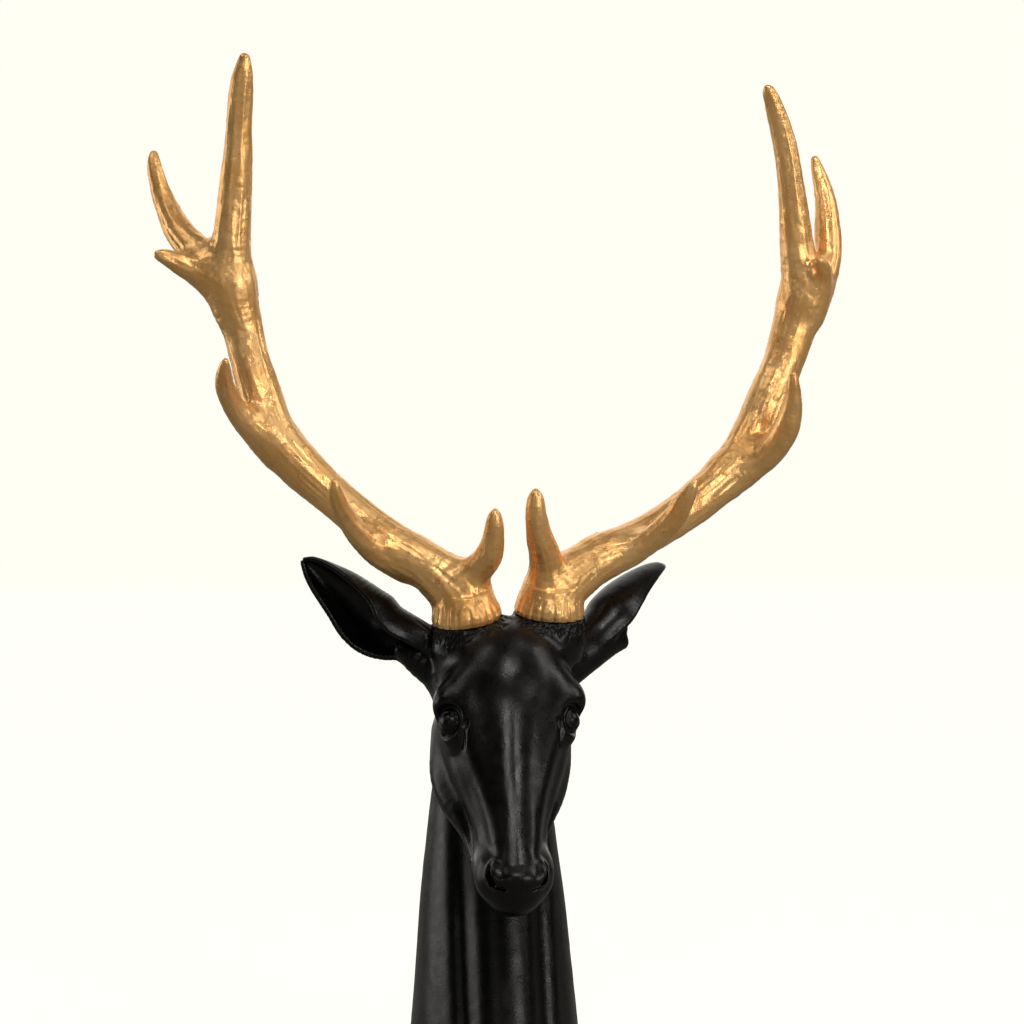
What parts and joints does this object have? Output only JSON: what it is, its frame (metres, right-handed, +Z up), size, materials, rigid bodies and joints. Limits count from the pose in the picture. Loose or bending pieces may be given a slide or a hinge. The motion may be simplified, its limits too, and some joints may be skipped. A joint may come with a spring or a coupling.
{
  "type": "stag bust figurine",
  "caption": "Stag head on a long upright neck, black, with two branching gold antlers, cut flat below so that it stands on a shelf.",
  "frame": {"origin": "centre of the neck's flat underside, on the shelf that it stands on", "axes": "+Z up along the neck, -Y the way the face looks, +X the animal's own left side"},
  "size_m": [0.2381, 0.1076, 0.3547],
  "materials": {
    "satin_black": "satin black paint on cast resin",
    "bright_gold": "bright metallic gold paint on cast resin"
  },
  "bodies": {
    "root": {"head_and_neck": "satin_black", "antler_right": "bright_gold", "antler_left": "bright_gold"}
  },
  "joints": []
}
